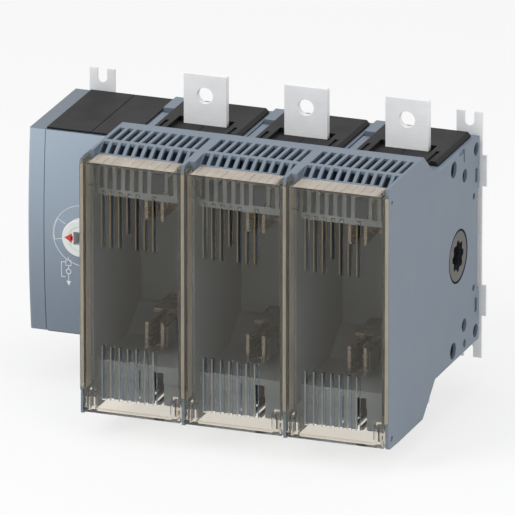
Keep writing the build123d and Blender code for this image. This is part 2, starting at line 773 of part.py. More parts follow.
front_plate_rear = drive_front + wall
with BuildPart() as drive_front_plate:
    extrude(drive_profile(seam_x, front_plate_rear), amount=drive_width - side_chamber_width)
    rod_along_y(dial_x, drive_front - 2 * drive_bulge, front_plate_rear + 1, 0, dial_radius + bearing_gap,
                mode=Mode.SUBTRACT)
save(drive_front_plate.part, "drive_front_plate")

cover_split = block_left + drive_cover_split
cover_y1 = drive_rear - 1.5
with BuildPart() as drive_housing:
    cuboid((seam_x, front_plate_rear, -half_drive), (drive_right, drive_rear, half_drive))
    cuboid((seam_x + wall, front_plate_rear - 1, -half_drive + wall),
           (drive_right - wall, drive_rear - wall, half_drive - wall), mode=Mode.SUBTRACT)
    # wells for the black covers above and below
    for side in (1, -1):
        with Locations(((seam_x + drive_right) / 2, (front_plate_rear + drive_rear) / 2, side * half_drive)):
            Box(drive_right - seam_x - 4 * wall, drive_rear - front_plate_rear - 4 * wall, 4 * wall,
                mode=Mode.SUBTRACT)
    rod_along_x(drive_right - 2 * wall, drive_right + 1, shaft_y, 0, shaft_outer + running_gap,
                mode=Mode.SUBTRACT)
    for side in (1, -1):
        foot(-fixing_span / 2 + bracket_width / 2 - foot_width, drive_rear, side, -fixing_span / 2 - screw_inset)
save(drive_housing.part, "drive_housing")


def drive_cover(x0, x1, side):
    """A black cover of the drive module, above or below."""
    with BuildPart() as cover:
        cuboid((x0, front_plate_rear, half_drive), (x1, cover_y1, half_drive + drive_cover_rise))
        cuboid((x0 + 2 * wall + seat_gap, front_plate_rear + 2 * wall + seat_gap, half_drive - wall),
               (x1 - 2 * wall - seat_gap, cover_y1 - 2 * wall - seat_gap, half_drive))
        rear_edge = cover.edges().filter_by(Axis.X).group_by(Axis.Z)[-1].sort_by(Axis.Y)[-1]
        fillet(rear_edge, 1.0)
    if side > 0:
        return cover.part
    return mirror(cover.part, about=Plane.XY)


for side, place in ((1, "top"), (-1, "bottom")):
    save(drive_cover(seam_x, cover_split - drive_cover_seam / 2, side), f"drive_cover_left_{place}")
    save(drive_cover(cover_split + drive_cover_seam / 2, drive_right - running_gap, side), f"drive_cover_right_{place}")

# Hub, mitre gears and splined shaft
tooth_pitch = 360.0 / gear_teeth
hub_front = drive_front - drive_bulge - dial_reach
hub_rear = shaft_y - gear_radius - gear_tooth_depth + gear_web
frame_y = front_plate_rear + frame_setback
with BuildPart() as drive_hub:
    rod_along_y(dial_x, hub_front, front_plate_rear + 2, 0, dial_radius)
    rod_along_y(dial_x, front_plate_rear + 2, hub_rear, 0, hub_shaft_radius)
    fillet(drive_hub.edges().filter_by(GeomType.CIRCLE).sort_by(Axis.Y)[0], 1.0)
    with Locations((dial_x, hub_front, 0)):
        Box(socket_size, 2 * hub_socket_depth, socket_size, mode=Mode.SUBTRACT)
save(drive_hub.part, "drive_hub")


def tooth_gap(angle):
    """The space between two teeth, which tapers towards the apex."""
    dedendum = 0.65 * gear_tooth_depth
    gap = math.pi * gear_radius / gear_teeth + gear_backlash
    height = 2 * gear_tooth_depth
    top = gap + 2 * (height - dedendum) * math.tan(math.radians(gear_flank))
    ends = []
    for reach in (gear_radius + 4.0, gear_radius - gear_face - 3.0):
        share = reach / gear_radius
        with BuildSketch(Plane.YZ.offset(reach)) as end:
            with Locations((0, (-gear_radius - dedendum + height / 2) * share)):
                Trapezoid(top * share, height * share, 90 - gear_flank, rotation=180)
        ends.append(end.sketch)
    return Rotation(0, 0, angle) * loft(ends)


def mitre_gear(phase, bore_face):
    """A mitre gear on the Z axis, with its apex at the origin and its teeth towards it."""
    back = -gear_radius - gear_tooth_depth
    addendum = 0.4 * gear_tooth_depth
    rim = gear_radius - gear_face
    gaps = [tooth_gap(phase + tooth * tooth_pitch) for tooth in range(gear_teeth)]
    with BuildPart() as gear:
        with BuildSketch(Plane.XZ):
            with BuildLine():
                Polyline(
                    (0, back), (gear_radius - 6, back), (gear_radius, back + 4.0),
                    (gear_radius, -gear_radius + addendum), (rim, -rim + addendum),
                    (rim, back + gear_web), (0, back + gear_web), close=True)
            make_face()
        revolve(axis=Axis.Z)
        add(gaps, mode=Mode.SUBTRACT)
        extrude(bore_face, amount=back - 1, both=True, mode=Mode.SUBTRACT)
    return gear.part


def round_face(radius):
    """A round bore on the Z axis."""
    with BuildSketch() as face:
        Circle(radius)
    return face.sketch


apex = Location((dial_x, shaft_y, 0))
hub_gear = mitre_gear(tooth_pitch / 2, round_face(hub_shaft_radius + seat_gap))
save(apex * Rotation(-90, 0, 0) * hub_gear, "hub_gear")
shaft_gear = mitre_gear(0.0, star(seat_gap))
save(apex * Rotation(0, -90, 0) * shaft_gear, "shaft_gear")

with BuildPart() as rotor_shaft:
    shaft_start = dial_x + gear_radius
    shaft_end = end_left - socket_depth
    extrude(star_face(shaft_start, 0), amount=shaft_end - shaft_start)
save(rotor_shaft.part, "rotor_shaft")

# Steel frame that carries the hub, folded from one sheet
with BuildPart() as mechanism_frame:
    frame_left = seam_x + wall + seat_gap
    frame_right = drive_right - wall - seat_gap
    cuboid((frame_left, frame_y, -frame_height / 2), (frame_right, frame_y + frame_thickness, frame_height / 2))
    for x in (frame_left, frame_right - frame_thickness):
        cuboid((x, frame_y, -frame_height / 2), (x + frame_thickness, frame_y + frame_flange, frame_height / 2))
    rod_along_y(dial_x, frame_y - 1, frame_y + frame_flange, 0, hub_shaft_radius + bearing_gap, mode=Mode.SUBTRACT)
    rod_along_x(frame_right - 2 * frame_thickness, frame_right + 1, shaft_y, 0, shaft_outer + running_gap,
                mode=Mode.SUBTRACT)
save(mechanism_frame.part, "mechanism_frame")


# Mounting brackets, cut from galvanised sheet, and their screws
def bracket(x, tab_side):
    """An upright strap with an open slot at each end; tabs stand out on one side."""
    half = bracket_height / 2
    with BuildPart() as strap:
        cuboid((x - bracket_width / 2, -bracket_thickness, -half), (x + bracket_width / 2, 0, half))
        if tab_side:
            for side in (1, -1):
                low, high = sorted((side * tab_low, side * tab_high))
                cuboid((x, -bracket_thickness, low), (block_right + tab_reach, 0, high))
        for side in (1, -1):
            with Locations((x, -bracket_thickness / 2, side * half)):
                Box(slot_width, 3 * bracket_thickness, 2 * (slot_depth - slot_width / 2), mode=Mode.SUBTRACT)
            rod_along_y(x, -2 * bracket_thickness, 1, side * (half - slot_depth + slot_width / 2), slot_width / 2,
                        mode=Mode.SUBTRACT)
            with Locations(Location((x - screw_inset, 0, side * screw_height), (90, 0, 0))):
                Cone(screw_head_radius + seat_gap, screw_radius + seat_gap, bracket_thickness,
                     align=(Align.CENTER, Align.CENTER, Align.MIN), mode=Mode.SUBTRACT)
    return strap.part


def bracket_screws():
    """The four countersunk screws of both brackets."""
    with BuildPart() as screws:
        for x in (-fixing_span / 2, fixing_span / 2):
            for side in (1, -1):
                with Locations(Location((x - screw_inset, 0, side * screw_height), (90, 0, 0))):
                    Cone(screw_head_radius, screw_radius, bracket_thickness,
                         align=(Align.CENTER, Align.CENTER, Align.MIN))
                    Cylinder(screw_radius, screw_length, align=(Align.CENTER, Align.CENTER, Align.MIN))
    return screws.part


save(bracket_screws(), "bracket_screws")
save(bracket(-fixing_span / 2, False), "bracket_left")
save(bracket(fixing_span / 2, True), "bracket_right")
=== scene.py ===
"""Looks of a three-pole fuse switch disconnector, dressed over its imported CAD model.

New pieces are measured in millimetres and scaled to metres when they are finished.
"""
import json
import math

import bmesh
import bpy
from mathutils import Matrix, Vector


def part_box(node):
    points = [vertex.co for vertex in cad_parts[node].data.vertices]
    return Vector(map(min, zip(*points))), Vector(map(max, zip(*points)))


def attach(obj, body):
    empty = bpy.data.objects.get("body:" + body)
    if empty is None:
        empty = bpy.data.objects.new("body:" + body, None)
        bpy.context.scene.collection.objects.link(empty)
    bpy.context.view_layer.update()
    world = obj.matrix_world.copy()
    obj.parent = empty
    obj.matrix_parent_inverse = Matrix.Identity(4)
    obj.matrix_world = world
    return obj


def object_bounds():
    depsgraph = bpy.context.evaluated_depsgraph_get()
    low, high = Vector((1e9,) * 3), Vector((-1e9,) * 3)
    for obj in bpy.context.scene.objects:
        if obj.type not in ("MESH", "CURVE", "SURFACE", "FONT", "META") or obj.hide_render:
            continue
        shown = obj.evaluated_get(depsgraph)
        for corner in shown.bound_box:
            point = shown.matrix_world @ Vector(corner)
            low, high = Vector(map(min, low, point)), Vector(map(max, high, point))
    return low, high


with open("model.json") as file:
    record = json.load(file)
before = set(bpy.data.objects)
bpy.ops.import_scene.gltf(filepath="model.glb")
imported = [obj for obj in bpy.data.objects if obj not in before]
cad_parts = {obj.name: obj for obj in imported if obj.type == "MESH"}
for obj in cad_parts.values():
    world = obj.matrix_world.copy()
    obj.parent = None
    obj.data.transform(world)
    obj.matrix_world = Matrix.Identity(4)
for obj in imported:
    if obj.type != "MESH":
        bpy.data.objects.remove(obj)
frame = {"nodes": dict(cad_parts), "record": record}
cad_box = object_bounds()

nodes = frame["nodes"]
MM = 0.001

# Colours, as linear values
GREY = (0.140, 0.178, 0.225)
# Paler grey painted along the housing's edges as a highlight
EDGE_HIGHLIGHT_GREY = (0.175, 0.220, 0.275)
# Drive face: painted shade towards its bottom and painted light towards its top
DRIVE_SHADE_LOW = (0.170, 0.212, 0.262)
DRIVE_LIGHT_HIGH = (0.330, 0.400, 0.475)
# Painted shade on the drive's faces that look upward
TOP_FACE_SHADE = (0.10, 0.13, 0.17)
BLACK = (0.004, 0.004, 0.0045)
BLACK_PALE = (0.007, 0.007, 0.0075)
# Paler black painted along edges as a highlight
EDGE_HIGHLIGHT_BLACK = (0.02, 0.02, 0.022)
TIN = (0.90, 0.90, 0.905)
# Silvered copper darkened to how dim the fuse jaws look inside the covers: painted shade
SHADED_SILVER = (0.24, 0.225, 0.20)
STEEL = (0.42, 0.42, 0.43)
ZINC = (0.86, 0.865, 0.875)
ROTOR = (0.085, 0.082, 0.074)
# Painted shade in the star bore and on the dark sheets laid in hollows
SHADE_DARK = (0.006, 0.009, 0.014)
SMOKE = (0.85, 0.80, 0.715)
LIGHT_IN = (0.48, 0.46, 0.42)
# Pale colours of painted light on the covers' frosted flanges and top, and on the lower slot edges
PAINTED_LIGHT_BEIGE = (0.70, 0.65, 0.59)
PAINTED_LIGHT_PALE = (0.76, 0.75, 0.72)
# Golden painted highlight on the edges of the upper slots
SLOT_HIGHLIGHT_GOLD = (0.62, 0.50, 0.33)
WHITE = (0.80, 0.80, 0.79)
PRINT_DIM = (0.72, 0.75, 0.78)
PRINT_WHITE = (0.80, 0.82, 0.84)
RED = (0.60, 0.03, 0.02)
GREEN = (0.60, 0.72, 0.58)
FLOOR_WHITE = (0.86, 0.86, 0.86)

# Curved front of the drive module, and the thickness of what is printed or laid on
DIAL_X = -144.0
DRIVE_FRONT = -119.6
HALF_DRIVE = 93.3
DRIVE_BULGE = 5.0
FACE_ROUND = (HALF_DRIVE ** 2 + DRIVE_BULGE ** 2) / (2 * DRIVE_BULGE)
SHELL_BOTTOM, SHELL_TOP = -95.0, 93.0
PRINT_HEIGHT = 0.12
SKIN = 0.15

# Ring and sector round the dial, as inner and outer radii and angles in degrees
DIAL_RING = (27.6, 28.2)
SECTOR_RING = (27.0, 28.4)
SECTOR_ANGLES = (150, 192)
SECTOR_RAY = (19.0, 27.5)
RAY_WIDTH = 0.6

# Switch symbol below the dial, drawn about the dial's centre, each line as x0, z0, x1, z1
SYMBOL_X = -14.0
SYMBOL_LINES = [
    (-16.4, -24, -11.6, -24), (-11.6, -24, -11.6, -29),
    (-11.6, -29, -16.4, -29), (-16.4, -29, -16.4, -24),
    (-14, -21, -14, -24), (-14, -29, -14, -32), (-14, -37, -14, -44),
    (-20.6, -26, -16.4, -26), (-20.6, -26, -20.6, -40), (-20.6, -40, -17, -40),
]
SYMBOL_WIDTH = 0.7
ARROW_TIP = -48.0
ARROW_SIZE = 4.5
CONTACT_RING = (1.8, 2.6)
CONTACT_HEIGHT = -34.5

# Pointer and scale on the hub
POINTER_TIP = -14.5
POINTER_LENGTH = 7.0
POINTER_WIDTH = 9.0
POINTER_STEM = (-8.5, -6.6)
STEM_WIDTH = 4.0
HUB_SCALE = (10.6, 12.0)
HUB_SCALE_ANGLES = (200, 520)

# Fuse covers, from the left edge of their plates
COVER_SPAN = 93.4
COVER_WIDTH = 90.4
COVER_GAP = 0.3
COVER_SIDE = 2.5
COVER_TOP = 113.0
COVER_TOP_DEPTH = 24.6
PARTITION = 3.0
LUG_HEIGHT = 20.0
TOP_MARGIN = 6.0
TOP_SETBACK = 0.5
SIDE_MARGIN = 2.0
FLANGE_SETBACK = 3.1
FLANGE_DEPTH = 10.6
STRIP_SETBACK = 3.05
STRIP_INSET = 0.1
BEAD_COUNT = 10
BEAD_FIRST = 8.6
BEAD_PITCH = 8.1
BEAD_WIDTH = 1.6
BEAD_SETBACK = 2.5
BEAD_LENGTH = 17.6
BEAD_RISE = 0.8

# Slots of the covers, as their ends in height, and the two that are shorter in the upper row
SLOT_COUNT = 7
SLOT_FIRST = 17.8
SLOT_PITCH = 7.9
UPPER_SLOTS = (37.0, 88.0)
LOWER_SLOTS = (-104.0, -54.0)
RAISED_SLOT, RAISED_BY = 3, 14.0
LOWERED_SLOT, LOWERED_BY = 5, 20.0
SLOT_INSET = 0.3
EDGE_SETBACK = 0.2
EDGE_DEPTH = 2.6

# Shaft, its coupling and the holes of the right side, as depth, height and radius or size
FRONT = -245.0
SHAFT_Y = -61.3
STAR_REACH = 14.5
SHAFT_TIP = 14.6
JOURNAL = 24.3
RIM_WIDTH = 1.8
HOLE_FLOOR = 180.2
HOLE_INSET = 0.1
ROUND_HOLES = [(171.1, 83.8, 7.5), (200.0, 69.3, 6.0), (230.0, 84.2, 6.0), (224.4, 42.5, 3.0)]
SLOT_HOLE = (230.7, 60.1, 5.7, 13.0)

# The photograph's view, in degrees and metres
PHOTO_TURN = 20.2
PHOTO_RISE = 19.2
PHOTO_TARGET = Vector((0.01673, -0.11795, -0.00256))
PHOTO_DISTANCE = 12.516
LENS = 1000.0
SENSOR = 36.0
CLIP_END = 60.0

# Studio, in metres and watts: lamps as name, place, size and power
LIT_POINT = (0, -0.1, 0)
LAMPS = [
    ("Key", (-1.6, -2.2, 2.2), 1.6, 55),
    ("Fill", (2.2, -1.6, 0.9), 1.8, 20),
    ("Top", (0.2, -0.4, 2.6), 1.2, 14),
]
FLOOR_HALF = 9.0
FLOOR_DROP = 0.0005
FLOOR_GLOW = 0.72
SKY_LIGHT = 0.55


# Small helpers for node trees
def add_node(tree, kind, place=(0, 0), **values):
    """A new node with its settings and input values."""
    made = tree.nodes.new(kind)
    made.location = place
    for key, value in values.items():
        if hasattr(made, key):
            setattr(made, key, value)
        else:
            made.inputs[key.replace("_", " ")].default_value = value
    return made


def remap(tree, value, source=(0.0, 1.0), target=(0.0, 1.0), place=(0, 0), **values):
    """A value carried from one range to another and held within it."""
    ramp = add_node(tree, "ShaderNodeMapRange", place, **values)
    for label, number in zip(("From Min", "From Max", "To Min", "To Max"), (*source, *target)):
        ramp.inputs[label].default_value = number
    tree.links.new(value, ramp.inputs["Value"])
    return ramp.outputs["Result"]


def largest(tree, values, place=(-100, 400)):
    """The largest of several values."""
    best = values[0]
    for step, value in enumerate(values[1:]):
        larger = add_node(tree, "ShaderNodeMath", (place[0] + 150 * step, place[1]),
                          operation="MAXIMUM")
        tree.links.new(best, larger.inputs[0])
        tree.links.new(value, larger.inputs[1])
        best = larger.outputs["Value"]
    return best


def blend_colours(tree, factor, dark, light, place=(-300, 0)):
    """A colour between two others, by a mask."""
    mix = add_node(tree, "ShaderNodeMix", place, data_type="RGBA")
    tree.links.new(factor, mix.inputs["Factor"])
    for socket, colour in ((mix.inputs[6], dark), (mix.inputs[7], light)):
        if isinstance(colour, tuple):
            socket.default_value = (*colour, 1)
        else:
            tree.links.new(colour, socket)
    return mix.outputs[2]


def mix_to_output(tree, share, first, second):
    """Sends a mix of two shaders to the material's output."""
    mix = add_node(tree, "ShaderNodeMixShader", (500, 100))
    tree.links.new(share, mix.inputs["Fac"])
    tree.links.new(first, mix.inputs[1])
    tree.links.new(second, mix.inputs[2])
    tree.links.new(mix.outputs["Shader"], tree.nodes["Material Output"].inputs["Surface"])


def scaled(colour, share):
    """The same colour, darker or paler."""
    return tuple(channel * share for channel in colour)


# Shared shader groups
def new_group(name, inputs, outputs):
    """An empty shader group with named sockets, its inputs given as (name, kind, value)."""
    tree = bpy.data.node_groups.new(name, "ShaderNodeTree")
    for label, kind, value in inputs:
        socket = tree.interface.new_socket(label, in_out="INPUT", socket_type=kind)
        socket.default_value = value
    for label, kind in outputs:
        tree.interface.new_socket(label, in_out="OUTPUT", socket_type=kind)
    given = add_node(tree, "NodeGroupInput", (-900, 0))
    return tree, given, add_node(tree, "NodeGroupOutput", (700, 0))


def moulded_grain():
    """Fine grain and soft mottling of moulded plastic."""
    tree, given, out = new_group(
        "Moulded grain",
        [("Grain", "NodeSocketFloat", 1800.0), ("Mottling", "NodeSocketFloat", 28.0)],
        [("Height", "NodeSocketFloat"), ("Tone", "NodeSocketFloat")])
    place = add_node(tree, "ShaderNodeTexCoord", (-900, 300))
    fine = add_node(tree, "ShaderNodeTexNoise", (-500, 300), Detail=3.0, Roughness=0.6)
    soft = add_node(tree, "ShaderNodeTexNoise", (-500, 0), Detail=4.0, Roughness=0.55)
    for noise, scale in ((fine, "Grain"), (soft, "Mottling")):
        tree.links.new(place.outputs["Object"], noise.inputs["Vector"])
        tree.links.new(given.outputs[scale], noise.inputs["Scale"])
    tree.links.new(fine.outputs["Fac"], out.inputs["Height"])
    tree.links.new(remap(tree, soft.outputs["Fac"], (0.3, 0.7)), out.inputs["Tone"])
    return tree


def soft_edges():
    """Rounded normals along sharp edges, and a mask of where they are."""
    tree, given, out = new_group(
        "Soft edges",
        [("Radius", "NodeSocketFloat", 0.0006)],
        [("Normal", "NodeSocketVector"), ("Edge", "NodeSocketFloat")])
    bevel = add_node(tree, "ShaderNodeBevel", (-500, 200), samples=6)
    tree.links.new(given.outputs["Radius"], bevel.inputs["Radius"])
    flat = add_node(tree, "ShaderNodeNewGeometry", (-500, -100))
    dot = add_node(tree, "ShaderNodeVectorMath", (-250, 0), operation="DOT_PRODUCT")
    tree.links.new(bevel.outputs["Normal"], dot.inputs[0])
    tree.links.new(flat.outputs["True Normal"], dot.inputs[1])
    tree.links.new(bevel.outputs["Normal"], out.inputs["Normal"])
    tree.links.new(remap(tree, dot.outputs["Value"], (1.0, 0.7)), out.inputs["Edge"])
    return tree


def brushed_sheet():
    """Fine rolling lines and cloudy patches of plated sheet."""
    tree, given, out = new_group(
        "Brushed sheet",
        [("Stretch", "NodeSocketVector", (30.0, 30.0, 900.0)), ("Cloud", "NodeSocketFloat", 60.0)],
        [("Height", "NodeSocketFloat"), ("Tone", "NodeSocketFloat")])
    place = add_node(tree, "ShaderNodeTexCoord", (-900, 300))
    stretched = add_node(tree, "ShaderNodeVectorMath", (-700, 300), operation="MULTIPLY")
    tree.links.new(place.outputs["Object"], stretched.inputs[0])
    tree.links.new(given.outputs["Stretch"], stretched.inputs[1])
    lines = add_node(tree, "ShaderNodeTexNoise", (-500, 300), Scale=1.0, Detail=3.0)
    tree.links.new(stretched.outputs["Vector"], lines.inputs["Vector"])
    cloud = add_node(tree, "ShaderNodeTexNoise", (-500, 0), Detail=2.0)
    tree.links.new(place.outputs["Object"], cloud.inputs["Vector"])
    tree.links.new(given.outputs["Cloud"], cloud.inputs["Scale"])
    both = add_node(tree, "ShaderNodeMath", (-200, 0), operation="ADD")
    tree.links.new(lines.outputs["Fac"], both.inputs[0])
    tree.links.new(cloud.outputs["Fac"], both.inputs[1])
    tree.links.new(lines.outputs["Fac"], out.inputs["Height"])
    tree.links.new(remap(tree, both.outputs["Value"], (0.7, 1.3)), out.inputs["Tone"])
    return tree


GRAIN = moulded_grain()
EDGES = soft_edges()
SHEET = brushed_sheet()


def place_group(tree, group, place=(-700, 0), **values):
    """A group placed in a material with its own values."""
    made = add_node(tree, "ShaderNodeGroup", place)
    made.node_tree = group
    for key, value in values.items():
        made.inputs[key].default_value = value
    return made


# Masks that a material takes from the shape
def facing_along(tree, axis):
    """A mask of the surfaces that face along an axis."""
    facing = add_node(tree, "ShaderNodeNewGeometry", (-1100, 500))
    split = add_node(tree, "ShaderNodeSeparateXYZ", (-900, 500))
    tree.links.new(facing.outputs["True Normal"], split.inputs["Vector"])
    return remap(tree, split.outputs[axis], (0.5, 0.9), place=(-700, 500))


def shell_height(tree):
    """A smooth rise from the bottom of the drive module to its top, used for the painted light and
    shade of its face.
    """
    where = add_node(tree, "ShaderNodeTexCoord", (-1100, 200))
    split = add_node(tree, "ShaderNodeSeparateXYZ", (-900, 200))
    tree.links.new(where.outputs["Object"], split.inputs["Vector"])
    return remap(tree, split.outputs["Z"], (SHELL_BOTTOM * MM, SHELL_TOP * MM),
                 place=(-700, 200), interpolation_type="SMOOTHSTEP")


def off_the_shaft(tree):
    """A mask of the surfaces farther from the shaft's axis than its star reaches."""
    where = add_node(tree, "ShaderNodeTexCoord", (-1500, 200))
    across = add_node(tree, "ShaderNodeVectorMath", (-1300, 200), operation="MULTIPLY_ADD")
    across.inputs[1].default_value = (0, 1, 1)
    across.inputs[2].default_value = (0, -SHAFT_Y * MM, 0)
    tree.links.new(where.outputs["Object"], across.inputs[0])
    radius = add_node(tree, "ShaderNodeVectorMath", (-1100, 200), operation="LENGTH")
    tree.links.new(across.outputs["Vector"], radius.inputs[0])
    ends = ((STAR_REACH + 0.05) * MM, (STAR_REACH + 0.15) * MM)
    return remap(tree, radius.outputs["Value"], ends, place=(-900, 200))


# Materials
def new_material(name, metallic=0.0, **constants):
    """A material with one Principled shader."""
    made = bpy.data.materials.new(name)
    made.use_nodes = True
    tree = made.node_tree
    shader = tree.nodes["Principled BSDF"]
    shader.inputs["Metallic"].default_value = metallic
    for key, value in constants.items():
        shader.inputs[key.replace("_", " ")].default_value = value
    return made, tree, shader


def finish_surface(tree, shader, pattern, base, rough, bump, radius, edge=None):
    """Colour, roughness, bump and soft edges of a surface from its pattern group, with a painted
    highlight along its edges where an edge colour is given.
    """
    edges = place_group(tree, EDGES, (-700, -500), Radius=radius)
    colour = blend_colours(tree, pattern.outputs["Tone"], *base)
    # Painted highlight: the colour turns paler along sharp edges
    if edge:
        share = remap(tree, edges.outputs["Edge"], target=(0.0, 0.5), place=(-500, -200))
        colour = blend_colours(tree, share, colour, edge, (-100, 0))
    tree.links.new(colour, shader.inputs["Base Color"])
    roughness = remap(tree, pattern.outputs["Tone"], target=rough, place=(-300, -300))
    tree.links.new(roughness, shader.inputs["Roughness"])
    bumped = add_node(tree, "ShaderNodeBump", (-100, -500), Strength=bump, Distance=0.0002)
    tree.links.new(pattern.outputs["Height"], bumped.inputs["Height"])
    tree.links.new(edges.outputs["Normal"], bumped.inputs["Normal"])
    tree.links.new(bumped.outputs["Normal"], shader.inputs["Normal"])


def plastic(name, dark, pale, rough=(0.42, 0.52), bump=0.12, edge=None, gloss=0.5):
    """Moulded plastic with a fine grain, and a painted highlight along its edges where an edge
    colour is given.
    """
    made, tree, shader = new_material(name, Specular_IOR_Level=gloss)
    pattern = place_group(tree, GRAIN, Grain=1800.0)
    finish_surface(tree, shader, pattern, (dark, pale), rough, bump, 0.0006, edge)
    return made


def plated(name, dark, pale, metallic, rough):
    """Plated or rolled metal with fine lines."""
    made, tree, shader = new_material(name, metallic)
    pattern = place_group(tree, SHEET, Stretch=(30.0, 30.0, 900.0))
    finish_surface(tree, shader, pattern, (dark, pale), rough, 0.08, 0.0004)
    return made


def face_paint():
    """The drive module's smooth shell, with painted light and shade: paler towards its top, and
    darker on faces that look upward.
    """
    made, tree, shader = new_material("Drive face")
    pattern = place_group(tree, GRAIN, Grain=2200.0, Mottling=20.0)
    # Painted light and shade: paler towards the top of the curved face
    shade = blend_colours(tree, shell_height(tree), DRIVE_SHADE_LOW, DRIVE_LIGHT_HIGH, (-500, 200))
    # Painted shade: faces that look upward turn darker
    shade = blend_colours(tree, facing_along(tree, "Z"), shade, TOP_FACE_SHADE, (-400, 200))
    finish_surface(tree, shader, pattern, (shade, shade), (0.34, 0.42), 0.05, 0.0008)
    return made


def rotor_thermoset():
    """Rotor plastic, with painted shade in the star bore."""
    made, tree, shader = new_material("Rotor thermoset")
    pattern = place_group(tree, GRAIN, Grain=1800.0)
    # Painted shade: surfaces within the star's reach that do not face along X turn dark
    pale = largest(tree, [facing_along(tree, "X"), off_the_shaft(tree)], (-700, 300))
    shade = blend_colours(tree, pale, SHADE_DARK, scaled(ROTOR, 1.1), (-500, 200))
    finish_surface(tree, shader, pattern, (shade, shade), (0.5, 0.6), 0.12, 0.0006)
    return made


def let_light_through(tree, shader, tint):
    """Lets shadow rays pass a clear material, dimmed by its tint."""
    rays = add_node(tree, "ShaderNodeLightPath", (0, 400))
    film = add_node(tree, "ShaderNodeBsdfTransparent", (200, -200))
    film.inputs["Color"].default_value = (*tint, 1)
    mix_to_output(tree, rays.outputs["Is Shadow Ray"], shader.outputs["BSDF"],
                  film.outputs["BSDF"])


def smoked_clear():
    """Smoked clear polycarbonate with a slight haze."""
    made, tree, shader = new_material("Smoked polycarbonate", Roughness=0.05, IOR=1.15,
                                      Transmission_Weight=0.979)
    shader.inputs["Base Color"].default_value = (*SMOKE, 1)
    let_light_through(tree, shader, LIGHT_IN)
    return made


def frosted(name, colour):
    """Parts of a cover with a rough skin, whose pale colour is painted light that the clear
    plastic catches.
    """
    made, tree, shader = new_material(name, IOR=1.3, Transmission_Weight=0.6)
    pattern = place_group(tree, GRAIN, Grain=900.0, Mottling=60.0)
    finish_surface(tree, shader, pattern, (scaled(colour, 0.85), colour), (0.3, 0.45), 0.1,
                   0.0003)
    let_light_through(tree, shader, SMOKE)
    return made


FINISHES = {
    "housing_grey": plastic("Housing grey", GREY, scaled(GREY, 1.12), edge=EDGE_HIGHLIGHT_GREY),
    "drive_face": face_paint(),
    "black_plastic": plastic("Black plastic", BLACK, BLACK_PALE, (0.5, 0.6),
                             edge=EDGE_HIGHLIGHT_BLACK, gloss=0.2),
    "white_plastic": plastic("White plastic", scaled(WHITE, 0.9), WHITE, (0.35, 0.42)),
    "rotor_plastic": rotor_thermoset(),
    "smoked_clear": smoked_clear(),
    "tinned_copper": plated("Tinned copper", scaled(TIN, 0.93), TIN, 0.12, (0.38, 0.46)),
    "silvered_copper": plated("Silvered copper", scaled(SHADED_SILVER, 0.9), SHADED_SILVER, 0.9, (0.2, 0.34)),
    "steel": plated("Zinc plated steel", scaled(STEEL, 0.9), STEEL, 0.9, (0.3, 0.42)),
    "galvanised_sheet": plated("Galvanised sheet", scaled(ZINC, 0.92), ZINC, 0.15, (0.4, 0.5)),
}
RED_INLAY = plastic("Red inlay", RED, scaled(RED, 1.1), (0.4, 0.45), 0.03)
WHITE_PRINT = plastic("White print", PRINT_DIM, PRINT_WHITE, (0.45, 0.5), 0.02)
GREEN_PRINT = plastic("Green print", GREEN, scaled(GREEN, 1.1), (0.45, 0.5), 0.02)
# A dark material for sheets of painted shade, laid where there is only shade
PAINTED_SHADE_SHEETS = plastic("Painted shade sheets", SHADE_DARK, scaled(SHADE_DARK, 1.3), (0.8, 0.9), 0.02, gloss=0.1)

for subpart in frame["record"]["subparts"]:
    mesh = nodes[subpart["node"]].data
    mesh.materials.clear()
    mesh.materials.append(FINISHES[subpart["material_slot"]])


# Meshes of new pieces
def new_object(name, bm, material):
    """Turns a finished bmesh into an object with one material."""
    mesh = bpy.data.meshes.new(name)
    bm.to_mesh(mesh)
    bm.free()
    mesh.materials.append(material)
    made = bpy.data.objects.new(name, mesh)
    bpy.context.scene.collection.objects.link(made)
    return made


def new_piece(name, bm, material, body):
    """Turns a finished bmesh, in millimetres, into a piece that rides on a body."""
    bmesh.ops.scale(bm, verts=bm.verts, vec=(MM, MM, MM))
    bmesh.ops.recalc_face_normals(bm, faces=bm.faces)
    piece = new_object(name, bm, material)
    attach(piece, body)


def thicken(bm, step):
    """Gives flat faces their thickness, along a step."""
    grown = bmesh.ops.extrude_face_region(bm, geom=list(bm.faces))
    moved = [item for item in grown["geom"] if isinstance(item, bmesh.types.BMVert)]
    bmesh.ops.translate(bm, verts=moved, vec=step)


def ring(bm, inner, outer, start=0.0, end=360.0, steps=96):
    """A flat ring or part of one, drawn in X and Y."""
    near = bmesh.ops.create_vert(bm, co=(inner, 0, 0))["vert"][0]
    far = bmesh.ops.create_vert(bm, co=(outer, 0, 0))["vert"][0]
    edge = bm.edges.new((near, far))
    bmesh.ops.rotate(bm, verts=[near, far], cent=(0, 0, 0),
                     matrix=Matrix.Rotation(math.radians(start), 3, "Z"))
    bmesh.ops.spin(bm, geom=[near, far, edge], cent=(0, 0, 0), axis=(0, 0, 1),
                   angle=math.radians(end - start), steps=steps, use_merge=end - start == 360)


def bar(bm, x0, y0, x1, y1, width):
    """A flat bar between two points, cut into short lengths so that it can follow the face."""
    along = Vector((x1 - x0, y1 - y0, 0))
    across = Vector((-along.y, along.x, 0)).normalized() * width / 2
    start = Vector((x0, y0, 0))
    last = [bm.edges.new([bm.verts.new(start - across), bm.verts.new(start + across)])]
    lengths = max(1, int(along.length / 4))
    for _ in range(lengths):
        grown = bmesh.ops.extrude_edge_only(bm, edges=last)["geom"]
        verts = [item for item in grown if isinstance(item, bmesh.types.BMVert)]
        last = [item for item in grown if isinstance(item, bmesh.types.BMEdge)]
        bmesh.ops.translate(bm, verts=verts, vec=along / lengths)


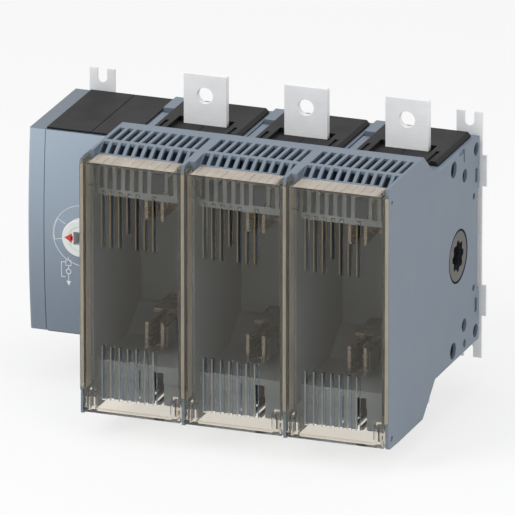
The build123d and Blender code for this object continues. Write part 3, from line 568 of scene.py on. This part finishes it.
def arrow(bm, x, y, angle, length, width):
    """A flat arrow head whose tip is at a point."""
    turn = Matrix.Rotation(math.radians(angle), 3, "Z")
    tip = Vector((x, y, 0))
    back = tip - turn @ Vector((length, 0, 0))
    side = turn @ Vector((0, width / 2, 0))
    bm.faces.new([bm.verts.new(tip), bm.verts.new(back + side), bm.verts.new(back - side)])


def sheet(bm, corner, size):
    """A thin sheet, given by its low corner and its size."""
    made = bmesh.ops.create_cube(bm, size=1.0)
    bmesh.ops.scale(bm, verts=made["verts"], vec=size)
    bmesh.ops.translate(bm, verts=made["verts"], vec=Vector(corner) + Vector(size) / 2)


def turned_to_x(x, y, z):
    """The move that turns a shape on the Z axis to face along X and takes it to a point."""
    return Matrix.Translation((x, y, z)) @ Matrix.Rotation(math.radians(90), 4, "Y")


def disc(bm, x, y, z, radius, thickness):
    """A disc that faces along X, its outer face at x."""
    bmesh.ops.create_cone(bm, cap_ends=True, segments=48, radius1=radius, radius2=radius,
                          depth=thickness, matrix=turned_to_x(x - thickness / 2, y, z))


# Prints on the drive module
def face_depth(z):
    """Y of the drive's curved face at a height."""
    return DRIVE_FRONT - DRIVE_BULGE + FACE_ROUND - math.sqrt(FACE_ROUND ** 2 - z ** 2)


def lay_on_face(bm):
    """Lays a flat print, drawn about the dial, on the curved face and gives it thickness."""
    for vert in bm.verts:
        x, z = vert.co.x + DIAL_X, vert.co.y
        vert.co = Vector((x, face_depth(z) - PRINT_HEIGHT, z))
    thicken(bm, (0, 2 * PRINT_HEIGHT, 0))


def dial_prints():
    """The rings, the sector and the switch symbol printed round the dial."""
    rings = bmesh.new()
    ring(rings, *DIAL_RING)
    ring(rings, *SECTOR_RING, *SECTOR_ANGLES, 24)
    for angle in SECTOR_ANGLES:
        turn = math.radians(angle)
        ends = [(reach * math.cos(turn), reach * math.sin(turn)) for reach in SECTOR_RAY]
        bar(rings, *ends[0], *ends[1], RAY_WIDTH)
    symbol = bmesh.new()
    for line in SYMBOL_LINES:
        bar(symbol, *line, SYMBOL_WIDTH)
    arrow(symbol, SYMBOL_X, ARROW_TIP, -90, ARROW_SIZE, ARROW_SIZE)
    contact = bmesh.new()
    ring(contact, *CONTACT_RING, steps=32)
    bmesh.ops.translate(contact, verts=contact.verts, vec=(SYMBOL_X, CONTACT_HEIGHT, 0))
    prints = (("dial_ring", rings), ("switch_symbol", symbol), ("switch_ring", contact))
    for name, flat in prints:
        lay_on_face(flat)
        new_piece(name, flat, WHITE_PRINT, "root")


def hub_prints():
    """The red pointer and the pale scale on the front of the white hub."""
    front_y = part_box("drive_hub")[0].y / MM
    pointer = bmesh.new()
    arrow(pointer, POINTER_TIP, 0, 180, POINTER_LENGTH, POINTER_WIDTH)
    bar(pointer, POINTER_STEM[0], 0, POINTER_STEM[1], 0, STEM_WIDTH)
    scale = bmesh.new()
    ring(scale, *HUB_SCALE, *HUB_SCALE_ANGLES)
    prints = (("hub_pointer", pointer, RED_INLAY), ("hub_scale", scale, GREEN_PRINT))
    for name, flat, material in prints:
        for vert in flat.verts:
            vert.co = Vector((vert.co.x + DIAL_X, front_y - SKIN, vert.co.y))
        thicken(flat, (0, 2 * SKIN, 0))
        new_piece(name, flat, material, "hub")


# Frosted parts of the fuse covers, pale sheets of painted light
def cover_flanges(low, high, left, first):
    """The left flange and the strips before the partitions, on both sides of the first cover, as
    pale sheets of painted light.
    """
    flanges = bmesh.new()
    bottom = low.z + LUG_HEIGHT + SIDE_MARGIN
    tall = COVER_TOP - bottom - SIDE_MARGIN
    sheet(flanges, (left + COVER_SIDE, low.y + FLANGE_SETBACK, bottom),
          (SKIN, FLANGE_DEPTH, tall))
    strips = [high.x - PARTITION]
    if first:
        strips.append(low.x + STRIP_INSET)
    for x in strips:
        sheet(flanges, (x, low.y + STRIP_SETBACK, bottom),
              (PARTITION - 2 * STRIP_INSET, SKIN, tall))
    return flanges


def cover_top(low, left):
    """The skin of a cover's top wall with its cast ribs, in a pale colour of painted light."""
    skins = bmesh.new()
    sheet(skins, (left + TOP_MARGIN, low.y + TOP_SETBACK, COVER_TOP),
          (COVER_WIDTH - 2 * TOP_MARGIN, COVER_TOP_DEPTH - 2 * TOP_SETBACK, SKIN))
    for bead in range(BEAD_COUNT):
        x = left + BEAD_FIRST + bead * BEAD_PITCH
        sheet(skins, (x, low.y + BEAD_SETBACK, COVER_TOP + SKIN),
              (BEAD_WIDTH, BEAD_LENGTH, BEAD_RISE))
    return skins


def slot_edges(low, left, ends, upper):
    """Painted highlights: pale sheets on the left edges of a row of slots."""
    edges = bmesh.new()
    for slot in range(SLOT_COUNT):
        x = left - COVER_GAP + SLOT_FIRST + slot * SLOT_PITCH
        bottom, top = ends
        if upper and slot == RAISED_SLOT:
            bottom += RAISED_BY
        if upper and slot == LOWERED_SLOT:
            top -= LOWERED_BY
        sheet(edges, (x, low.y + EDGE_SETBACK, bottom + SLOT_INSET),
              (SKIN, EDGE_DEPTH, top - bottom - 2 * SLOT_INSET))
    return edges


def frost_covers():
    """The frosted flanges and top of each fuse cover in pale colours of painted light, and painted
    highlights on the edges of its slots.
    """
    top_skin = frosted("Frosted top, painted light", PAINTED_LIGHT_BEIGE)
    side_skin = frosted("Frosted sides, painted light", PAINTED_LIGHT_PALE)
    upper_slot_highlight = frosted("Upper slot edge highlights", SLOT_HIGHLIGHT_GOLD)
    lower_slot_highlight = frosted("Lower slot edge highlights", PAINTED_LIGHT_PALE)
    for number in (1, 2, 3):
        low, high = (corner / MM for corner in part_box(f"fuse_cover_{number}"))
        left = high.x - COVER_SPAN
        parts = (
            ("cover_sides", cover_flanges(low, high, left, number == 1), side_skin),
            ("cover_skin", cover_top(low, left), top_skin),
            ("cover_slot_highlights", slot_edges(low, left, UPPER_SLOTS, True), upper_slot_highlight),
            ("cover_low_highlights", slot_edges(low, left, LOWER_SLOTS, False), lower_slot_highlight),
        )
        for name, bm, material in parts:
            new_piece(f"{name}_{number}", bm, material, f"cover_{number}")


# Painted shade on the right side
def knock_outs():
    """Painted shade: dark sheets at the floors of the round and square holes of the right side."""
    floors = bmesh.new()
    for side in (1, -1):
        for depth, height, radius in ROUND_HOLES:
            disc(floors, HOLE_FLOOR, FRONT + depth, side * height, radius - HOLE_INSET, SKIN)
        depth, height, width, length = SLOT_HOLE
        corner = (HOLE_FLOOR - SKIN, FRONT + depth - width / 2 + HOLE_INSET,
                  side * height - length / 2 + HOLE_INSET)
        sheet(floors, corner, (SKIN, width - 2 * HOLE_INSET, length - 2 * HOLE_INSET))
    new_piece("knock_out_painted_shade", floors, PAINTED_SHADE_SHEETS, "root")


def coupling():
    """Painted shade: a dark rim on the coupling socket and a dark cap on the end of the shaft
    behind it.
    """
    rim = bmesh.new()
    ring(rim, JOURNAL - RIM_WIDTH, JOURNAL, steps=64)
    thicken(rim, (0, 0, SKIN))
    socket_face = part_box("coupling_socket")[1].x / MM
    bmesh.ops.transform(rim, matrix=turned_to_x(socket_face, SHAFT_Y, 0), verts=rim.verts)
    new_piece("coupling_rim_painted_shade", rim, PAINTED_SHADE_SHEETS, "rotor")
    cap = bmesh.new()
    shaft_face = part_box("rotor_shaft")[1].x / MM
    disc(cap, shaft_face + 2 * SKIN, SHAFT_Y, 0, SHAFT_TIP, 2 * SKIN)
    new_piece("shaft_end_painted_shade", cap, PAINTED_SHADE_SHEETS, "rotor")


dial_prints()
hub_prints()
frost_covers()
knock_outs()
coupling()


# Stage: camera, floor, backdrop and lamps
def look_from(location, target, obj):
    """Turns a camera or a lamp towards a point."""
    obj.location = location
    obj.rotation_euler = (Vector(target) - Vector(location)).to_track_quat("-Z", "Y").to_euler()


def camera():
    """The photograph's view, from the right and above, with a long lens."""
    lens = bpy.data.cameras.new("Camera")
    lens.lens = LENS
    lens.sensor_width = SENSOR
    lens.clip_end = CLIP_END
    made = bpy.data.objects.new("Camera", lens)
    bpy.context.scene.collection.objects.link(made)
    turn, rise = math.radians(PHOTO_TURN), math.radians(PHOTO_RISE)
    view = Vector((-math.sin(turn) * math.cos(rise), math.cos(turn) * math.cos(rise),
                   -math.sin(rise)))
    look_from(PHOTO_TARGET - PHOTO_DISTANCE * view, PHOTO_TARGET, made)
    bpy.context.scene.camera = made


def lamp(name, location, size, power):
    """A soft square lamp that shines on the object."""
    light = bpy.data.lights.new(name, "AREA")
    light.size = size
    light.energy = power
    made = bpy.data.objects.new(name, light)
    bpy.context.scene.collection.objects.link(made)
    look_from(location, LIT_POINT, made)


def seen_directly(tree, place):
    """1 for rays that show a surface to the eye, straight or in glass or gloss."""
    rays = add_node(tree, "ShaderNodeLightPath", place)
    kinds = ("Is Camera Ray", "Is Glossy Ray", "Is Transmission Ray")
    return largest(tree, [rays.outputs[kind] for kind in kinds], (place[0] + 200, place[1]))


def backdrop_material():
    """A white floor that keeps a soft shadow."""
    made, tree, shader = new_material("Backdrop white", Roughness=0.9, Specular_IOR_Level=0.1)
    shader.inputs["Base Color"].default_value = (*FLOOR_WHITE, 1)
    share = remap(tree, seen_directly(tree, (-300, 400)), target=(0.0, FLOOR_GLOW),
                  place=(300, 400))
    glow = add_node(tree, "ShaderNodeEmission", (0, -300), Strength=1.0)
    mix_to_output(tree, share, shader.outputs["BSDF"], glow.outputs["Emission"])
    return made


def floor():
    """A plain floor under the lower terminals."""
    bm = bmesh.new()
    bmesh.ops.create_grid(bm, x_segments=1, y_segments=1, size=FLOOR_HALF)
    made = new_object("Floor", bm, backdrop_material())
    made.location = (0, 0, cad_box[0].z - FLOOR_DROP)


def studio_world():
    """A pale surrounding light, seen as white behind the object."""
    world = bpy.data.worlds.new("Studio")
    bpy.context.scene.world = world
    world.use_nodes = True
    tree = world.node_tree
    tree.nodes.clear()
    strength = remap(tree, seen_directly(tree, (-600, 0)), target=(SKY_LIGHT, 1.0),
                     place=(-50, 0))
    sky = add_node(tree, "ShaderNodeBackground", (150, 0), Color=(1, 1, 1, 1))
    tree.links.new(strength, sky.inputs["Strength"])
    out = add_node(tree, "ShaderNodeOutputWorld", (350, 0))
    tree.links.new(sky.outputs["Background"], out.inputs["Surface"])


camera()
floor()
studio_world()
for lamp_values in LAMPS:
    lamp(*lamp_values)

bpy.context.scene.view_settings.view_transform = "Standard"
